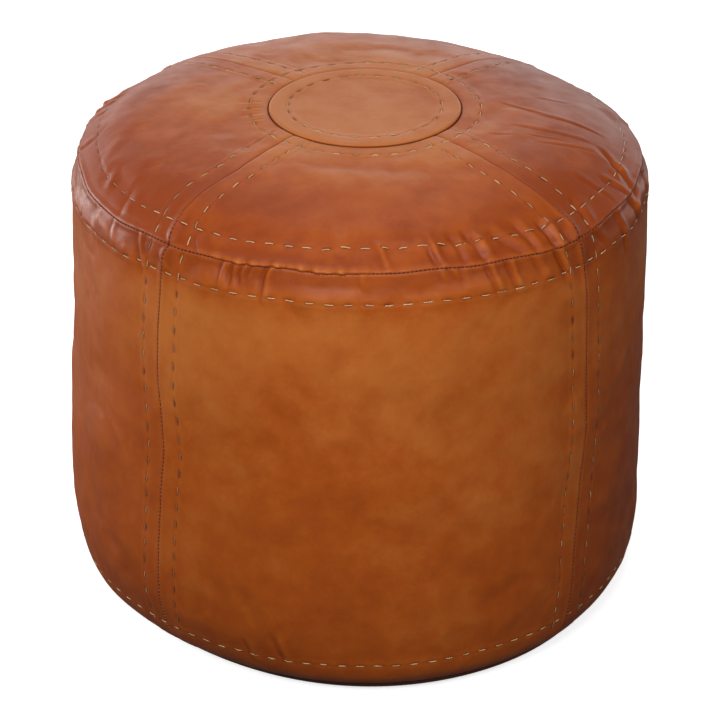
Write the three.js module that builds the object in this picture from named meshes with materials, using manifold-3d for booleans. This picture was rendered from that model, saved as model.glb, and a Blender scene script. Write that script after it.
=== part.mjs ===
// A round leather pouf: a stuffed floor seat with four crown panels, a centre patch, four side panels and a zipped base.
// Millimetres, +Z up. The origin is the middle of the base, on the floor. The front is -Y and the zip runs along X.
import * as THREE from "three";
import { mergeVertices } from "three/addons/utils/BufferGeometryUtils.js";
import Module from "manifold-3d";

// ---- driving dimensions ----
const HEIGHT = 420; // floor to the middle of the crown
const CROWN_SEAM = { r: 228.5, z: 385 }; // where the crown is sewn to the side
const BASE_SEAM = { r: 227, z: 14 }; // where the side is sewn to the base
const BELLY_R = 243.5; // the side's widest, low down where the filling settles
const FOOT_R = 203; // the flat that rests on the floor
const PATCH_R = 78; // the round patch that covers the middle of the crown
const FLAT_TOP_R = 84; // the crown is level this far out
const LEATHER = 1.6; // leather thickness
const ALLOWANCE = 16; // width of the leather turned in along each seam
const SEAM_GAP = 0.6; // between two pieces that are sewn together
const LINER = { depth: 3.6, thickness: 0.9 }; // cotton bag, measured in from the leather's outside
const FILLING_DEPTH = 4.9; // the filling's surface, measured in from the leather's outside
const AROUND = 40; // facets round the pouf, so that the seams at 45 degrees fall on facet edges
const BIG = 400; // larger than the pouf: the reach of cutting shapes

// The zip lies in a shallow valley across the base, so that its slider stays off the floor.
const VALLEY = { height: 8, halfWidth: 7, rise: 1 / 3 };
const ZIP = { half: 150, slotHalf: 6, slotEnd: 156, z: VALLEY.height + 3.8 }; // z is the height of the tapes
const ZIP_ROOM = { end: 162, half: 19, height: 5 }; // the hollow that the filling leaves over the zip
const TAPE = { inner: 3.5, outer: 17, thickness: 0.6 };
const COIL = { inner: 0.15, outer: 3.2, height: 2.6 };
const SLIDER = { x: 143, length: 15, width: 11, plate: 1.2, inside: 3.8, neck: 2.4 };
const BRIDGE = { length: 9, width: 2, drop: 3.8, bar: 1 };
const TAB = { length: 27, width: 8.4, thickness: 1.4, bar: 0.8, hole: 6.5, rail: 1.8, drop: 1.5 };
const STOP = { length: 3, width: 2.4 };

// ---- colours, roughness and metalness ----
const finish = (color, roughness, metalness = 0) => new THREE.MeshStandardMaterial({ color, roughness, metalness });
const tanLeather = finish(0xa5561f, 0.42);
const baseLeather = finish(0x8a4318, 0.5);
const zipTape = finish(0x5a3c24, 0.9);
const zipCoil = finish(0x4a3220, 0.5);
const zipMetal = finish(0xb08d4f, 0.35, 1);
const cotton = finish(0xe6dcc6, 0.95);
const wadding = finish(0xf0ebe0, 1);

// ---- solids ----
const wasm = await Module();
wasm.setup();

function solid(geometry) {
  const plain = geometry.clone();
  plain.deleteAttribute("normal");
  plain.deleteAttribute("uv");
  const merged = mergeVertices(plain, 1e-4);
  const vertProperties = merged.attributes.position.array;
  return new wasm.Manifold(new wasm.Mesh({ numProp: 3, vertProperties, triVerts: new Uint32Array(merged.index.array) }));
}

function geometryOf(manifold) {
  const mesh = manifold.getMesh();
  const geometry = new THREE.BufferGeometry();
  geometry.setAttribute("position", new THREE.BufferAttribute(new Float32Array(mesh.vertProperties), 3));
  geometry.setIndex(new THREE.BufferAttribute(new Uint32Array(mesh.triVerts), 1));
  geometry.computeVertexNormals();
  return geometry;
}

// A turned solid from (radius, height) pairs that go up the outside from the axis back to the axis.
function turned(pairs) {
  const lathe = new THREE.LatheGeometry(pairs.map(([r, z]) => new THREE.Vector2(r, z)), AROUND);
  return solid(lathe.rotateX(Math.PI / 2));
}

// A block between two corners.
function block([x0, y0, z0], [x1, y1, z1]) {
  const box = new THREE.BoxGeometry(x1 - x0, y1 - y0, z1 - z0);
  return solid(box.translate((x0 + x1) / 2, (y0 + y1) / 2, (z0 + z1) / 2));
}

// An outline in plan, from (x, y) pairs, standing from z0 to z1.
function prism(pairs, z0, z1) {
  const shape = new THREE.Shape(pairs.map(([x, y]) => new THREE.Vector2(x, y)));
  const upright = new THREE.ExtrudeGeometry(shape, { depth: z1 - z0, bevelEnabled: false });
  return solid(upright.translate(0, 0, z0));
}

// ---- the pouf's outside ----
// The section from the foot, up the side and over to the level top: smooth curves that meet at the two seams.
const sideCurve = new THREE.SplineCurve([
  new THREE.Vector2(BASE_SEAM.r, BASE_SEAM.z),
  new THREE.Vector2(238.5, 30),
  new THREE.Vector2(BELLY_R - 0.5, 60),
  new THREE.Vector2(BELLY_R, 105),
  new THREE.Vector2(240, 200),
  new THREE.Vector2(237.5, 300),
  new THREE.Vector2(234.5, 352),
  new THREE.Vector2(CROWN_SEAM.r, CROWN_SEAM.z),
]);
const crownCurve = new THREE.SplineCurve([
  new THREE.Vector2(CROWN_SEAM.r, CROWN_SEAM.z),
  new THREE.Vector2(210, 399),
  new THREE.Vector2(186, 410.5),
  new THREE.Vector2(155, 417),
  new THREE.Vector2(120, 419.4),
  new THREE.Vector2(FLAT_TOP_R, HEIGHT),
]);
const footCurve = new THREE.EllipseCurve(
  FOOT_R, BASE_SEAM.z, BASE_SEAM.r - FOOT_R, BASE_SEAM.z, -Math.PI / 2, 0, false,
);

// The section set in by a depth, as (radius, height) pairs from axis to axis.
function section(depth) {
  const outside = [...footCurve.getPoints(2), ...sideCurve.getPoints(7).slice(1), ...crownCurve.getPoints(5).slice(1)];
  const inset = outside.map((point, i) => {
    const before = outside[Math.max(i - 1, 0)];
    const after = outside[Math.min(i + 1, outside.length - 1)];
    const along = after.clone().sub(before).normalize();
    return [point.x - along.y * depth, point.y + along.x * depth];
  });
  inset[0] = [FOOT_R, depth];
  inset[inset.length - 1] = [FLAT_TOP_R, HEIGHT - depth];
  return [[0, depth], ...inset, [0, HEIGHT - depth]];
}

// The valley across the base, grown by the same depth so that every layer follows it.
function valley(depth) {
  const top = VALLEY.halfWidth + depth * Math.tan(Math.atan(VALLEY.rise) / 2);
  const high = VALLEY.height + depth;
  const below = 20;
  const foot = top + (high + below) / VALLEY.rise;
  // A trapezium with its own Y as height, laid along X.
  const trapezium = prism([[-foot, -below], [foot, -below], [top, high], [-top, high]], -BIG, BIG);
  return trapezium.rotate([90, 0, 90]);
}

// Everything inside the leather's outside, less a depth.
const body = (depth) => turned(section(depth)).subtract(valley(depth));

// ---- regions that share the skin out between the panels ----
// Above or below a cone that cuts the skin square at a seam, moved by a gap.
function aboveCrownSeam(move) {
  const z = CROWN_SEAM.z - CROWN_SEAM.r + move;
  return turned([[0, z], [BIG, z + BIG], [BIG, z + 2 * BIG], [0, z + 2 * BIG]]);
}

function belowBaseSeam(move) {
  const z = BASE_SEAM.z + BASE_SEAM.r + move;
  return turned([[0, z - 2 * BIG], [BIG, z - 2 * BIG], [BIG, z - BIG], [0, z]]);
}

// A round post of a radius, through the whole height.
const post = (r) => turned([[0, -BIG], [r, -BIG], [r, 2 * BIG], [0, 2 * BIG]]);

// A quarter in plan that faces -Y, turned by whole quarters, set back from both seams.
function quarter(turns, setBack) {
  const apex = -setBack * Math.SQRT2;
  return prism([[0, apex], [-BIG, apex - BIG], [BIG, apex - BIG]], -BIG, 2 * BIG).rotate([0, 0, 90 * turns]);
}

// Strips that run across the pouf along the two seam planes at 45 degrees.
function seamStrips(halfWidth) {
  const strip = block([-BIG, -halfWidth, -BIG], [BIG, halfWidth, 2 * BIG]);
  return strip.rotate([0, 0, 45]).add(strip.rotate([0, 0, -45]));
}

// ---- the leather, with its edges turned in ----
// Where the leather lies double: beside every seam and along the zip.
const aboveEdge = aboveCrownSeam(-ALLOWANCE * Math.SQRT2);
const belowEdge = belowBaseSeam(ALLOWANCE * Math.SQRT2);
const crownEdge = aboveEdge.subtract(aboveCrownSeam(ALLOWANCE * Math.SQRT2));
const baseEdge = belowEdge.subtract(belowBaseSeam(-ALLOWANCE * Math.SQRT2));
const patchEdge = post(PATCH_R + ALLOWANCE).subtract(post(PATCH_R - ALLOWANCE));
const radialEdge = seamStrips(ALLOWANCE).subtract(post(PATCH_R));
const zipEdge = block([-BIG, -ZIP.slotHalf - ALLOWANCE, -BIG], [BIG, ZIP.slotHalf + ALLOWANCE, HEIGHT / 2]);
const doubled = crownEdge.add(baseEdge).add(patchEdge.subtract(belowEdge));
const radialDoubled = radialEdge.subtract(belowEdge).add(zipEdge.intersect(belowEdge));
const inside = body(LEATHER).subtract(doubled).subtract(radialDoubled).add(body(2 * LEATHER));
const skin = body(0).subtract(inside);

const halfGap = SEAM_GAP / 2;
const crownSkin = skin.intersect(aboveCrownSeam(halfGap));
const sideSkin = skin.subtract(aboveCrownSeam(-halfGap)).subtract(belowBaseSeam(halfGap));
const baseSkin = skin.intersect(belowBaseSeam(-halfGap));

const pouf = new THREE.Group();

function add(name, manifold, material) {
  const mesh = new THREE.Mesh(geometryOf(manifold), material);
  mesh.name = name;
  pouf.add(mesh);
  return mesh;
}

const sides = ["front", "right", "back", "left"];

function addPanels() {
  const crownRing = crownSkin.subtract(post(PATCH_R + halfGap));
  sides.forEach((side, turns) => {
    add("top_panel_" + side, crownRing.intersect(quarter(turns, halfGap)), tanLeather);
    add("side_panel_" + side, sideSkin.intersect(quarter(turns, halfGap)), tanLeather);
  });
  add("centre_patch", crownSkin.intersect(post(PATCH_R - halfGap)), tanLeather);
  // The two halves of the base part for the zip and are sewn together beyond its ends.
  const slot = block([-ZIP.slotEnd, -ZIP.slotHalf, -BIG], [ZIP.slotEnd, ZIP.slotHalf, BIG]);
  const frontHalf = block([-BIG, -BIG, -BIG], [BIG, -halfGap, BIG]).subtract(slot);
  add("base_panel_front", baseSkin.intersect(frontHalf), baseLeather);
  add("base_panel_back", baseSkin.intersect(frontHalf.mirror([0, 1, 0])), baseLeather);
}

// ---- the zip ----
// A bar beside the middle of the zip, from y0 out to y1, with its middle at the height of the tapes.
function railAlong(x0, x1, y0, y1, height) {
  return block([x0, y0, ZIP.z - height / 2], [x1, y1, ZIP.z + height / 2]);
}

function addChain() {
  const coilEnd = SLIDER.x + 1.5;
  const stopStart = coilEnd + 0.3;
  const tape = railAlong(-ZIP.half - 8, ZIP.half + 8, TAPE.inner, TAPE.outer, TAPE.thickness);
  const coil = railAlong(-ZIP.half, coilEnd, COIL.inner, COIL.outer, COIL.height);
  const topStop = railAlong(stopStart, stopStart + STOP.length, SLIDER.neck / 2 + 0.4, COIL.outer, COIL.height);
  [["back", 1], ["front", -1]].forEach(([side, sign]) => {
    const here = (piece) => (sign > 0 ? piece : piece.mirror([0, 1, 0]));
    add("zip_tape_" + side, here(tape), zipTape);
    add("zip_coil_" + side, here(coil), zipCoil);
    add("zip_top_stop_" + side, here(topStop), zipMetal);
  });
  const end = -ZIP.half - 0.3;
  const bottomStop = railAlong(end - STOP.length, end, -STOP.width, STOP.width, COIL.height);
  add("zip_bottom_stop", bottomStop, zipMetal);
}

// The slider's two plates straddle the chain. A neck joins them ahead of the chain's end.
function addSlider() {
  const half = SLIDER.length / 2;
  const lower = ZIP.z - SLIDER.inside / 2;
  const upper = ZIP.z + SLIDER.inside / 2;
  const outline = (z0, z1) => {
    const w = SLIDER.width / 2;
    const tail = w * 0.72;
    return prism([[-half, -tail], [half - 3, -w], [half, -w * 0.6], [half, w * 0.6], [half - 3, w], [-half, tail]], z0, z1);
  };
  const neck = block([2.2, -SLIDER.neck / 2, lower - 0.2], [6.4, SLIDER.neck / 2, upper + 0.2]);
  const b = BRIDGE.length / 2;
  const w = BRIDGE.width / 2;
  const face = lower - SLIDER.plate;
  const bridge = block([-b, -w, face - BRIDGE.drop], [b, w, face + 0.4])
    .subtract(block([-b + 1, -w - 1, face - BRIDGE.drop + BRIDGE.bar], [b - 1, w + 1, face]));
  const slider = outline(lower - SLIDER.plate, lower).add(outline(upper, upper + SLIDER.plate)).add(neck).add(bridge);
  add("zip_slider", slider.translate([SLIDER.x, 0, 0]), zipMetal);
  return face;
}

// The tab lies flat under the chain. Its end bar turns in the slider's bridge.
function addPullTab(face) {
  const z = face - TAB.drop;
  const t = TAB.thickness / 2;
  const w = TAB.width / 2;
  const plate = prism([
    [TAB.bar, -w * 0.8], [TAB.bar, w * 0.8], [-TAB.hole, w], [-TAB.length + 3, w],
    [-TAB.length, w * 0.6], [-TAB.length, -w * 0.6], [-TAB.length + 3, -w], [-TAB.hole, -w],
  ], -t, t);
  const hole = block([-TAB.hole, -w + TAB.rail, -2 * t], [-TAB.bar, w - TAB.rail, 2 * t]);
  const tab = add("zip_pull_tab", plate.subtract(hole), zipMetal);
  tab.position.set(SLIDER.x, 0, z);
}

// ---- the inner bag and the filling ----
// A layer inside the leather, which bridges the zip and leaves room there for its tapes and slider.
function innerBody(depth) {
  const grown = depth - LINER.depth;
  const end = ZIP_ROOM.end + grown;
  const half = ZIP_ROOM.half + grown;
  return body(depth).subtract(block([-end, -half, -BIG], [end, half, ZIP.z + ZIP_ROOM.height + grown]));
}

function addInside() {
  const bag = innerBody(LINER.depth).subtract(innerBody(LINER.depth + LINER.thickness));
  add("liner_top", bag.intersect(aboveCrownSeam(halfGap)), cotton);
  add("liner_wall", bag.subtract(aboveCrownSeam(-halfGap)).subtract(belowBaseSeam(halfGap)), cotton);
  add("liner_base", bag.intersect(belowBaseSeam(-halfGap)), cotton);
  add("filling", innerBody(FILLING_DEPTH), wadding);
}

addPanels();
addChain();
addPullTab(addSlider());
addInside();

export default pouf;
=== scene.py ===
# %% [markdown]
# # A round Moroccan leather pouf
# The pouf is a stuffed floor seat. Goat or cow leather is cut into flat panels, sewn together inside out
# with a machine, turned, decorated with rows of hand running stitches, and stuffed through a zip in its
# base. The CAD model gives every piece its size and place. This file gives each piece the surface of the
# real one: the sewn edges, the puckers where the stuffing pushes, the thread, the zip's teeth and the
# waxed leather.

# %% Load the frame
import math

import bmesh
import bpy
import numpy as np
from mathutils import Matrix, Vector


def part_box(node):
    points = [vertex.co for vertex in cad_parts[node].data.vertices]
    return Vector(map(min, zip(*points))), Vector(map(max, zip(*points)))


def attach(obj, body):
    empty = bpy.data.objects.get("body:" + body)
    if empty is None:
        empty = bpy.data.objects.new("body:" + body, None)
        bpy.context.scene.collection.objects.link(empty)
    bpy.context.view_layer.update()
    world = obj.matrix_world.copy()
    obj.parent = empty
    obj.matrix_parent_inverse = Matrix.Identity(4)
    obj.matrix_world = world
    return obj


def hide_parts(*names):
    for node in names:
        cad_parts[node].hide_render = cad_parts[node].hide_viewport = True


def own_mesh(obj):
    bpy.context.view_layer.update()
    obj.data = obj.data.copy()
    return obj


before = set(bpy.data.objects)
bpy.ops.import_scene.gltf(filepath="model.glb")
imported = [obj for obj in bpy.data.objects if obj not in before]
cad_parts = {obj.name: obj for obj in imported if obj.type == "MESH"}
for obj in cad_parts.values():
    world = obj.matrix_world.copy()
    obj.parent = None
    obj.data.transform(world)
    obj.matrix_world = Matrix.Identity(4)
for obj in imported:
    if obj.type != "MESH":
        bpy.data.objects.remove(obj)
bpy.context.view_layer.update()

MM = 0.001  # the sums below are in millimetres, and Blender's meshes are in metres

# %% [markdown]
# ## The section of the pouf
# A stuffed pouf is nearly a solid of revolution, so its shape is one curve, from the middle of the crown
# over the rim and down to the middle of the base. It could be drawn as a Bezier curve in the viewport.
# Here it is a smooth curve through a few points, because every panel, seam and stitch is then placed by
# two numbers: the angle round the pouf, and the run, which is the distance along this curve from the
# middle of the crown.

# %% Draw the section
CROWN_SEAM = (228.5, 385.0)  # radius and height of the seam round the rim
BASE_SEAM = (227.0, 14.0)  # and of the seam round the base
FOOT_R = 200.0  # the leather lies flat on the floor inside this radius
PATCH_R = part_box("centre_patch")[1].x / MM + 0.3  # the round patch in the middle of the crown
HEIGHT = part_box("centre_patch")[1].z / MM
SECTION = [
    (0, HEIGHT), (84, HEIGHT), (120, 419.4), (155, 417), (186, 410.5), (210, 399), CROWN_SEAM,
    (234.5, 352), (237.5, 300), (240, 200), (243.5, 105), (243, 60), (238.5, 30), BASE_SEAM,
]


def curve_through(points, steps=40):
    """A smooth (Catmull-Rom) curve through the points, as a dense array."""
    p = np.array([points[0], *points, points[-1]], float)
    t = np.linspace(0, 1, steps, endpoint=False)[:, None]
    pieces = []
    for a, b, c, d in zip(p, p[1:], p[2:], p[3:]):
        cubic = (3 * b - 3 * c + d - a) * t**3 + (2 * a - 5 * b + 4 * c - d) * t**2 + (c - a) * t + 2 * b
        pieces.append(cubic / 2)
    return np.vstack([*pieces, p[-1:]])


def section_line():
    """The whole section at half-millimetre steps: run, radius and height."""
    t = np.linspace(0, 1, 60)[1:, None]
    start, bend, end = (np.array(v) for v in (BASE_SEAM, (219.0, 0.0), (FOOT_R, 0.0)))
    foot = start * (1 - t) ** 2 + 2 * bend * t * (1 - t) + end * t**2
    line = np.vstack([curve_through(SECTION), foot, [[0, 0]]])
    run = np.concatenate([[0], np.cumsum(np.linalg.norm(np.diff(line, axis=0), axis=1))])
    even = np.arange(0, run[-1], 0.5)
    return even, np.interp(even, run, line[:, 0]), np.interp(even, run, line[:, 1])


RUN, RADIUS, LEVEL = section_line()


def run_at(radius, level):
    """The run of the place on the section that is nearest to a radius and height."""
    return RUN[np.argmin((RADIUS - radius) ** 2 + (LEVEL - level) ** 2)]


RIM = run_at(*CROWN_SEAM)
HEM = run_at(*BASE_SEAM)


def softened(values, width):
    """A running mean, which keeps the ends."""
    padded = np.pad(values, width, mode="edge")
    return np.convolve(padded, np.ones(2 * width + 1) / (2 * width + 1), "valid")


SLOPE_R = softened(np.gradient(RADIUS, RUN), 8)
SLOPE_Z = softened(np.gradient(LEVEL, RUN), 8)
print(f"rim seam {RIM:.0f} mm and base seam {HEM:.0f} mm from the middle of the crown")

# %% [markdown]
# ## Small tools for surfaces
# Wrinkled leather is never quite regular. A few tools shape it: smooth steps, soft bumps, and ripples
# made of many sine waves with fixed random directions, which give the same result on every run.

# %% Tools for surfaces
def step(low, high, x):
    """Rises smoothly from 0 at low to 1 at high."""
    t = np.clip((x - low) / (high - low), 0, 1)
    return t * t * (3 - 2 * t)


def bump(x, width):
    """1 at x = 0, falling away softly over the width."""
    return np.exp(-((x / width) ** 2))


def ripples(points, wavelength, seed, waves=28):
    """A random smooth field with a mean square of 1, for points in mm."""
    rng = np.random.default_rng(seed)
    total = np.zeros(points.shape[:-1])
    for _ in range(waves):
        direction = rng.normal(size=3)
        direction *= 2 * math.pi / wavelength * rng.uniform(0.7, 1.3) / np.linalg.norm(direction)
        total += np.sin(points @ direction + rng.uniform(0, 2 * math.pi))
    return total * math.sqrt(2 / waves)


# %% [markdown]
# ## Where the seams and the stitch rows are
# Four seams run out from the patch over the rim and down the side. Sewing by hand and eye leaves them
# crooked, so each one wanders by a few degrees. The running stitches follow the seams, where the needle goes
# through the turned-in leather as well and holds it flat.

# %% Lay out the seams
QUARTER = math.pi / 2
ROW_BESIDE_SEAM = 16.5  # the running stitches beside the side seams and the crown's straight seams
CROWN_RIM_ROW = RIM - 20.0
SIDE_RIM_ROW = RIM + 24.0
BASE_ROW = HEM - 32.0
PATCH_ROWS = (PATCH_R - 16.0, PATCH_R + 15.5)
# How far each seam leaves its straight line: its angle, then (run, degrees) down it.
WANDER = {
    -45: [
        (PATCH_R, -3.3), (110, -0.6), (149, 2.2), (183, 1.2), (207, 1.0), (RIM - 6, 2.4), (RIM, 2.8),
        (RIM + 8, 1.9), (RIM + 34, 1.1), (RIM + 70, 0.7), (RIM + 120, 0.9), (RIM + 178, 2.8), (HEM, 0.9),
    ],
    45: [
        (PATCH_R, -3.2), (146, -4.6), (178, -3.7), (198, -2.8), (RIM - 18, -2.0), (RIM, -1.8),
        (RIM + 16, -1.2), (RIM + 37, -0.8), (RIM + 73, -0.2), (RIM + 170, 1.0), (HEM, -3.0),
    ],
    135: [(PATCH_R, 1.0), (RIM, -1.0), (RIM + 150, 1.2), (HEM, 0.2)],
    -135: [(PATCH_R, -0.6), (RIM, 1.2), (RIM + 200, -0.8), (HEM, 0.6)],
}


def turned(a, b):
    """The turn from angle b to angle a, between half a turn each way."""
    return (a - b + math.pi) % (2 * math.pi) - math.pi


def wander(angle, run):
    """How far the leather is turned from its even place: as the seam nearby is, and not at all by the zip."""
    total = np.zeros(np.broadcast(angle, run).shape)
    for seam, places in WANDER.items():
        runs, degrees = zip(*places)
        near = np.cos(np.clip(turned(angle, math.radians(seam)), -QUARTER, QUARTER) * 2) * 0.5 + 0.5
        total += near * np.radians(np.interp(run, runs, degrees))
    return total * step(HEM + 40, HEM, run)


RIM_WAVES = ((1.1, 5, 0.6), (0.8, 11, 2.0), (0.5, 23, 0.0))  # height in mm, waves in a round, and their start
FRONT_RISE, FRONT_RISE_AT = 2.6, 0.06  # mm, and radians from the front
CORNER_DROP, CORNER_DROP_AT = 7.0, 0.76
ROW_RISE, ROW_RISE_AT = 3.0, -0.02  # the crown's row of stitches rises a little more than the seam


def rim_wobble(angle, run):
    """The rim seam rides up and down a little as it goes round, up in front and down at the right corner."""
    wave = sum(height * np.sin(count * angle + start) for height, count, start in RIM_WAVES)
    wave = wave - FRONT_RISE * bump(turned(angle, FRONT_RISE_AT), 0.22)
    wave = wave + CORNER_DROP * bump(turned(angle, CORNER_DROP_AT), 0.17)
    row = ROW_RISE * bump(turned(angle, ROW_RISE_AT), 0.25) * bump(run - CROWN_RIM_ROW, 10)
    return wave * bump(run - RIM, 34) - row


def from_quarter_seam(angle, radius):
    """How far, in mm, a place is from the nearest of the four seams."""
    offset = np.mod(angle - QUARTER / 2, QUARTER)
    return np.minimum(offset, QUARTER - offset) * radius


# %% [markdown]
# ## Folds
# Where four thicknesses of leather meet, and where a flat panel is forced round the rim, the leather
# folds. Each fold here is a short line on the surface with a hollow along it and a ridge beside it. The
# angles are in degrees round the pouf from the front, and the places along the section are in mm from the
# rim seam, crown side negative.

# %% List the folds
CROWN_FOLDS = [
    # start, end, width, depth, ridge
    ((-0.5, -24), (1.2, 2), 2.8, 1.0, 2.0),
    ((11.4, -30), (11.8, 3), 2.4, 1.7, 0.8),
    ((10.6, -18), (13.6, 3), 2.4, 1.5, 0.9),
    ((17.2, -29), (18.2, 2), 3.0, 1.7, 1.0),
    ((20.6, -29), (22.8, 3), 3.6, 2.4, 1.9),
    ((26.0, -24), (32.2, 3), 4.2, 1.7, 1.4),
    ((32.6, -30), (34.4, 3), 3.4, 1.9, 1.5),
    ((38.2, -24), (39.4, 4), 3.2, 3.8, 3.0),
    ((42.0, -12), (43.0, 3), 2.6, 1.6, 1.4),
    ((50.6, -30), (48.6, 3), 3.6, 1.9, 1.3),
    ((93.0, -125), (84.5, -92), 1.4, 0.6, 0.35),
    ((85.0, -96), (80.0, -40), 1.8, 0.9, 0.5),
    ((62.0, -124), (67.0, -107), 1.2, 0.5, 0.25),
    ((73.5, -112), (74.2, -44), 2.0, 0.6, 0.4),
    ((99.0, -92), (96.0, -66), 1.6, 0.4, 0.3),
    ((89.0, -112), (83.0, -74), 1.2, 0.4, 0.2),
    ((69.0, -98), (71.0, -66), 1.2, 0.35, 0.2),
    ((66.0, -84), (72.0, -40), 1.4, 0.4, 0.25),
    ((-98.0, -152), (-97.0, -136), 1.8, 0.6, 0.4),
    ((-90.0, -153), (-89.0, -138), 1.8, 0.7, 0.5),
    ((-82.0, -153), (-82.0, -137), 1.8, 0.6, 0.4),
    ((-74.0, -152), (-75.0, -139), 1.6, 0.5, 0.4),
    ((58.0, -40), (60.0, -6), 2.2, 0.8, 0.5),
    ((63.4, -26), (66.0, 3), 2.4, 1.7, 1.1),
    ((74.0, -40), (67.0, 3), 2.6, 1.8, 0.9),
    ((-62.0, -26), (-60.0, 2), 4.0, 0.9, 0.6),
    ((-40.0, -14), (-38.0, 3), 2.6, 1.2, 0.9),
]
SIDE_FOLDS = [
    ((-32.4, -3), (-31.8, 24), 2.4, 1.6, 1.1),
    ((-30.0, -3), (-29.6, 22), 2.2, 1.5, 1.2),
    ((-28.2, -3), (-27.8, 18), 2.0, 1.4, 1.2),
    ((-26.2, -3), (-26.6, 15), 1.8, 1.2, 1.0),
    ((-23.0, -3), (-22.8, 30), 2.2, 2.6, 1.7),
    ((-5.0, -3), (-3.6, 16), 2.6, 1.0, 0.9),
    ((11.6, -3), (12.6, 13), 2.0, 1.2, 0.9),
    ((13.4, -3), (16.0, 14), 2.2, 1.2, 0.9),
    ((16.6, -2), (16.6, 19), 2.6, 1.0, 0.8),
    ((21.8, -3), (23.8, 29), 2.4, 2.3, 1.5),
    ((26.4, -3), (27.9, 30), 2.5, 2.3, 1.6),
    ((32.2, -3), (34.6, 26), 3.2, 1.3, 1.1),
    ((38.2, -3), (40.6, 36), 2.6, 2.9, 2.2),
    ((48.6, -3), (52.8, 24), 3.0, 1.5, 1.2),
    ((57.0, -3), (59.8, 46), 3.2, 1.4, 1.5),
    ((64.0, -3), (67.4, 30), 3.6, 1.9, 1.6),
    ((71.0, -3), (64.8, 12), 3.4, 1.6, 1.2),
    ((78.0, -3), (76.0, 40), 4.0, 1.6, 1.4),
    ((-84.0, -3), (-78.0, 54), 2.6, 1.3, 0.7),
    ((-76.0, -3), (-72.0, 50), 2.4, 1.2, 0.6),
    ((-70.0, -3), (-65.6, 36), 2.2, 1.2, 0.7),
    ((-62.0, -3), (-60.0, 24), 2.0, 0.9, 0.5),
    ((-54.0, -3), (-49.4, 40), 2.2, 1.5, 1.2),
    ((-46.6, 12), (-43.6, 26), 1.8, 0.9, 0.8),
    ((-20.0, 318), (-17.0, 352), 3.0, 1.2, 0.9),
    ((-26.0, 330), (-24.0, 356), 3.0, 1.0, 0.8),
]


BACK = (85, 275)  # degrees round the pouf


def random_folds(seed, count, start, reach, widths, depths):
    """More folds, for the back, which nobody would place one by one."""
    rng = np.random.default_rng(seed)
    made = []
    for _ in range(count):
        angle = rng.uniform(*BACK)
        length = rng.uniform(*reach)
        depth = rng.uniform(*depths)
        far = (angle + rng.uniform(-3, 3), start + length)
        made.append(((angle, start), far, rng.uniform(*widths), depth, depth * rng.uniform(0.5, 0.9)))
    return made


CROWN_FOLDS += random_folds(3, 18, 3, (-38, -16), (1.8, 3.4), (0.8, 2.0))
SIDE_FOLDS += random_folds(4, 30, -3, (16, 44), (1.6, 3.0), (0.8, 1.9))


def folds_at(angle, run, folds):
    """The height that all the folds in a list add up to."""
    height = np.zeros(angle.shape)
    radius = np.interp(run, RUN, RADIUS)
    for (a0, s0), (a1, s1), width, depth, ridge in folds:
        x = turned(angle, math.radians(a0)) * radius
        y = run - RIM - s0
        middle_radius = np.interp(RIM + (s0 + s1) / 2, RUN, RADIUS)
        along = np.array([math.radians(a1 - a0) * middle_radius, s1 - s0])
        length = np.linalg.norm(along)
        along /= length
        t = (x * along[0] + y * along[1]) / length
        d = x * along[1] - y * along[0]
        taper = step(-0.15, 0.2, t) * step(1.15, 0.6, t)
        spread = width * (1 + 0.5 * np.abs(t - 0.5))
        profile = ridge * bump(d - 1.6 * spread, 1.2 * spread) - depth * np.exp(-np.abs(d) / (0.8 * spread))
        height += np.where(np.abs(d) < 8 * width, taper * profile, 0)
    return height


print(len(CROWN_FOLDS), "folds on the crown and", len(SIDE_FOLDS), "on the side")

# %% [markdown]
# ## Sewing and stuffing the cover
# A cloth simulation finds how sewn leather puckers. The cover is a net of points on the section. The seam
# lines shrink, as machine stitches draw leather in, the leather beside the rim has a little to spare, and
# air pressure stands in for the stuffing. Sculpting the puckers by hand would also work, but they would
# not know of each other. Only the fine part of the result is kept: the pouf's overall shape comes from
# the section above.

# %% Simulate the cover
NET_STEP = 5.0  # mm between the net's points
NET_COLUMNS = 304
NET_RUNS = np.arange(58.0, HEM + 24, NET_STEP)  # from under the patch to a little way under the base
NET_ANGLES = np.linspace(-math.pi, math.pi, NET_COLUMNS, endpoint=False)
PUCKER_CAP = 5.0  # mm, the most that a pucker may rise or sink
FRAMES = 20  # of simulated time
CLOTH_SETTINGS = {
    "quality": 6, "mass": 0.9, "tension_stiffness": 60, "compression_stiffness": 60, "shear_stiffness": 30,
    "bending_stiffness": 3, "use_pressure": True, "uniform_pressure_force": 4, "vertex_group_mass": "held",
    "vertex_group_shrink": "tightness", "shrink_min": -0.035, "shrink_max": 0.065,
}


def smooth_place(angle, run):
    """A point of the section turned to an angle, with its outward normal and its downhill direction."""
    r = np.interp(run, RUN, RADIUS)
    z = np.interp(run, RUN, LEVEL)
    dr = np.interp(run, RUN, SLOPE_R)
    dz = np.interp(run, RUN, SLOPE_Z)
    size = np.hypot(dr, dz)
    dr, dz = dr / size, dz / size
    sin, cos = np.sin(angle), np.cos(angle)
    point = np.stack([r * sin, -r * cos, z], -1)
    normal = np.stack([-dz * sin, dz * cos, dr], -1)
    downhill = np.stack([dr * sin, -dr * cos, dz], -1)
    return point, normal, downhill


def wide_blur(field, columns, rows):
    """Blurs a net round the pouf, where it joins up, and down it, where it ends."""
    for _ in range(3):
        total = sum(np.roll(field, k, axis=0) for k in range(-columns, columns + 1))
        field = total / (2 * columns + 1)
        padded = np.pad(field, ((0, 0), (rows, rows)), mode="edge")
        total = sum(padded[:, k:k + field.shape[1]] for k in range(2 * rows + 1))
        field = total / (2 * rows + 1)
    return field


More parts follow.
